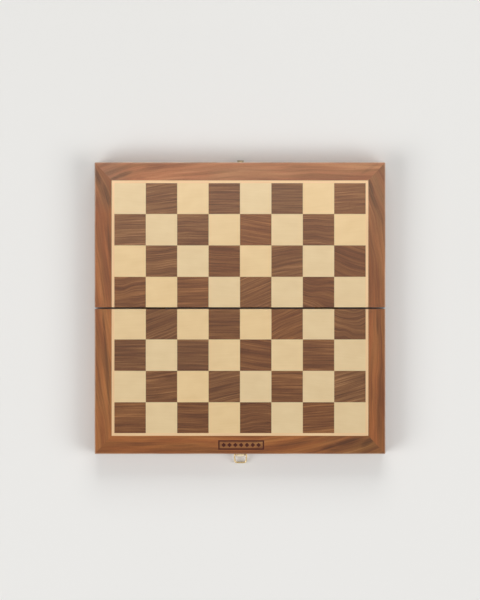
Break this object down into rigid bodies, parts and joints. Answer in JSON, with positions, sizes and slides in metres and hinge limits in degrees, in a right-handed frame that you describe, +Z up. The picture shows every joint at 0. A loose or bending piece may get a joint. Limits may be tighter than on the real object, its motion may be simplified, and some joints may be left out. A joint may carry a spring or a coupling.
{
  "type": "folding chess set",
  "caption": "Hinged wooden box that opens flat into an inlaid chess board and closes over fitted trays of turned chess men, held by a brass draw catch.",
  "frame": {"origin": "centre of the open set's footprint (catch bail and strike included), on the surface it stands on", "axes": "+X to the right along the fold, +Y toward the half with the strike, +Z up out of the playing side"},
  "size_m": [0.3, 0.315, 0.0283],
  "materials": {
    "frame_wood": "satin varnish",
    "panel_ply": "raw ply",
    "light_veneer": "satin varnish",
    "dark_veneer": "satin varnish",
    "line_inlay": "satin varnish",
    "lining": "felt over foam",
    "brass": "pale polished",
    "dark_men_wood": "satin varnish",
    "light_men_wood": "satin varnish"
  },
  "bodies": {
    "rear_half": {"rear_end_rail": "frame_wood", "rear_side_rails": "frame_wood", "rear_hinge_rail": "frame_wood", "rear_panel": "panel_ply", "rear_light_squares": "light_veneer", "rear_dark_squares": "dark_veneer", "rear_stringing": "line_inlay", "rear_insert": "lining", "rear_hinge_leaf_1": "brass", "rear_hinge_leaf_2": "brass", "hinge_pins": "brass", "rear_screws": "brass", "strike_plate": "brass"},
    "front_half": {"front_end_rail": "frame_wood", "front_side_rails": "frame_wood", "front_hinge_rail": "frame_wood", "front_panel": "panel_ply", "front_light_squares": "light_veneer", "front_dark_squares": "dark_veneer", "front_stringing": "line_inlay", "front_insert": "lining", "front_hinge_leaf_1": "brass", "front_hinge_leaf_2": "brass", "front_screws": "brass", "catch_base": "brass", "catch_pin": "brass"},
    "catch_lever": {"catch_lever": "brass"},
    "catch_bail": {"catch_bail": "brass"},
    "dark_rook_1": {"dark_rook_1": "dark_men_wood"},
    "dark_knight_1": {"dark_knight_1": "dark_men_wood"},
    "dark_bishop_1": {"dark_bishop_1": "dark_men_wood"},
    "dark_queen": {"dark_queen": "dark_men_wood"},
    "dark_king": {"dark_king": "dark_men_wood"},
    "dark_bishop_2": {"dark_bishop_2": "dark_men_wood"},
    "dark_knight_2": {"dark_knight_2": "dark_men_wood"},
    "dark_rook_2": {"dark_rook_2": "dark_men_wood"},
    "dark_pawn_1": {"dark_pawn_1": "dark_men_wood"},
    "dark_pawn_2": {"dark_pawn_2": "dark_men_wood"},
    "dark_pawn_3": {"dark_pawn_3": "dark_men_wood"},
    "dark_pawn_4": {"dark_pawn_4": "dark_men_wood"},
    "dark_pawn_5": {"dark_pawn_5": "dark_men_wood"},
    "dark_pawn_6": {"dark_pawn_6": "dark_men_wood"},
    "dark_pawn_7": {"dark_pawn_7": "dark_men_wood"},
    "dark_pawn_8": {"dark_pawn_8": "dark_men_wood"},
    "light_rook_1": {"light_rook_1": "light_men_wood"},
    "light_knight_1": {"light_knight_1": "light_men_wood"},
    "light_bishop_1": {"light_bishop_1": "light_men_wood"},
    "light_queen": {"light_queen": "light_men_wood"},
    "light_king": {"light_king": "light_men_wood"},
    "light_bishop_2": {"light_bishop_2": "light_men_wood"},
    "light_knight_2": {"light_knight_2": "light_men_wood"},
    "light_rook_2": {"light_rook_2": "light_men_wood"},
    "light_pawn_1": {"light_pawn_1": "light_men_wood"},
    "light_pawn_2": {"light_pawn_2": "light_men_wood"},
    "light_pawn_3": {"light_pawn_3": "light_men_wood"},
    "light_pawn_4": {"light_pawn_4": "light_men_wood"},
    "light_pawn_5": {"light_pawn_5": "light_men_wood"},
    "light_pawn_6": {"light_pawn_6": "light_men_wood"},
    "light_pawn_7": {"light_pawn_7": "light_men_wood"},
    "light_pawn_8": {"light_pawn_8": "light_men_wood"}
  },
  "joints": [
    {"name": "box_fold", "type": "hinge", "parent": "rear_half", "child": "front_half", "pos_m": [0, 0.00395, 0.00125], "axis": [1, 0, 0], "range_deg": [0, 180]},
    {"name": "catch_lever_turn", "type": "hinge", "parent": "front_half", "child": "catch_lever", "pos_m": [0.0005, -0.14805, 0.00325], "axis": [-1, 0, 0], "range_deg": [-130, 0]},
    {"name": "catch_bail_swing", "type": "hinge", "parent": "catch_lever", "child": "catch_bail", "pos_m": [0.0005, -0.14805, 0.00665], "axis": [1, 0, 0], "range_deg": [-70, 70]},
    {"name": "lift_dark_rook_1", "type": "slide", "parent": "rear_half", "child": "dark_rook_1", "axis": [0, 0, 1], "range_m": [-0.03, 0]},
    {"name": "lift_dark_knight_1", "type": "slide", "parent": "rear_half", "child": "dark_knight_1", "axis": [0, 0, 1], "range_m": [-0.03, 0]},
    {"name": "lift_dark_bishop_1", "type": "slide", "parent": "rear_half", "child": "dark_bishop_1", "axis": [0, 0, 1], "range_m": [-0.03, 0]},
    {"name": "lift_dark_queen", "type": "slide", "parent": "rear_half", "child": "dark_queen", "axis": [0, 0, 1], "range_m": [-0.03, 0]},
    {"name": "lift_dark_king", "type": "slide", "parent": "rear_half", "child": "dark_king", "axis": [0, 0, 1], "range_m": [-0.03, 0]},
    {"name": "lift_dark_bishop_2", "type": "slide", "parent": "rear_half", "child": "dark_bishop_2", "axis": [0, 0, 1], "range_m": [-0.03, 0]},
    {"name": "lift_dark_knight_2", "type": "slide", "parent": "rear_half", "child": "dark_knight_2", "axis": [0, 0, 1], "range_m": [-0.03, 0]},
    {"name": "lift_dark_rook_2", "type": "slide", "parent": "rear_half", "child": "dark_rook_2", "axis": [0, 0, 1], "range_m": [-0.03, 0]},
    {"name": "lift_dark_pawn_1", "type": "slide", "parent": "rear_half", "child": "dark_pawn_1", "axis": [0, 0, 1], "range_m": [-0.03, 0]},
    {"name": "lift_dark_pawn_2", "type": "slide", "parent": "rear_half", "child": "dark_pawn_2", "axis": [0, 0, 1], "range_m": [-0.03, 0]},
    {"name": "lift_dark_pawn_3", "type": "slide", "parent": "rear_half", "child": "dark_pawn_3", "axis": [0, 0, 1], "range_m": [-0.03, 0]},
    {"name": "lift_dark_pawn_4", "type": "slide", "parent": "rear_half", "child": "dark_pawn_4", "axis": [0, 0, 1], "range_m": [-0.03, 0]},
    {"name": "lift_dark_pawn_5", "type": "slide", "parent": "rear_half", "child": "dark_pawn_5", "axis": [0, 0, 1], "range_m": [-0.03, 0]},
    {"name": "lift_dark_pawn_6", "type": "slide", "parent": "rear_half", "child": "dark_pawn_6", "axis": [0, 0, 1], "range_m": [-0.03, 0]},
    {"name": "lift_dark_pawn_7", "type": "slide", "parent": "rear_half", "child": "dark_pawn_7", "axis": [0, 0, 1], "range_m": [-0.03, 0]},
    {"name": "lift_dark_pawn_8", "type": "slide", "parent": "rear_half", "child": "dark_pawn_8", "axis": [0, 0, 1], "range_m": [-0.03, 0]},
    {"name": "lift_light_rook_1", "type": "slide", "parent": "front_half", "child": "light_rook_1", "axis": [0, 0, 1], "range_m": [-0.03, 0]},
    {"name": "lift_light_knight_1", "type": "slide", "parent": "front_half", "child": "light_knight_1", "axis": [0, 0, 1], "range_m": [-0.03, 0]},
    {"name": "lift_light_bishop_1", "type": "slide", "parent": "front_half", "child": "light_bishop_1", "axis": [0, 0, 1], "range_m": [-0.03, 0]},
    {"name": "lift_light_queen", "type": "slide", "parent": "front_half", "child": "light_queen", "axis": [0, 0, 1], "range_m": [-0.03, 0]},
    {"name": "lift_light_king", "type": "slide", "parent": "front_half", "child": "light_king", "axis": [0, 0, 1], "range_m": [-0.03, 0]},
    {"name": "lift_light_bishop_2", "type": "slide", "parent": "front_half", "child": "light_bishop_2", "axis": [0, 0, 1], "range_m": [-0.03, 0]},
    {"name": "lift_light_knight_2", "type": "slide", "parent": "front_half", "child": "light_knight_2", "axis": [0, 0, 1], "range_m": [-0.03, 0]},
    {"name": "lift_light_rook_2", "type": "slide", "parent": "front_half", "child": "light_rook_2", "axis": [0, 0, 1], "range_m": [-0.03, 0]},
    {"name": "lift_light_pawn_1", "type": "slide", "parent": "front_half", "child": "light_pawn_1", "axis": [0, 0, 1], "range_m": [-0.03, 0]},
    {"name": "lift_light_pawn_2", "type": "slide", "parent": "front_half", "child": "light_pawn_2", "axis": [0, 0, 1], "range_m": [-0.03, 0]},
    {"name": "lift_light_pawn_3", "type": "slide", "parent": "front_half", "child": "light_pawn_3", "axis": [0, 0, 1], "range_m": [-0.03, 0]},
    {"name": "lift_light_pawn_4", "type": "slide", "parent": "front_half", "child": "light_pawn_4", "axis": [0, 0, 1], "range_m": [-0.03, 0]},
    {"name": "lift_light_pawn_5", "type": "slide", "parent": "front_half", "child": "light_pawn_5", "axis": [0, 0, 1], "range_m": [-0.03, 0]},
    {"name": "lift_light_pawn_6", "type": "slide", "parent": "front_half", "child": "light_pawn_6", "axis": [0, 0, 1], "range_m": [-0.03, 0]},
    {"name": "lift_light_pawn_7", "type": "slide", "parent": "front_half", "child": "light_pawn_7", "axis": [0, 0, 1], "range_m": [-0.03, 0]},
    {"name": "lift_light_pawn_8", "type": "slide", "parent": "front_half", "child": "light_pawn_8", "axis": [0, 0, 1], "range_m": [-0.03, 0]}
  ]
}
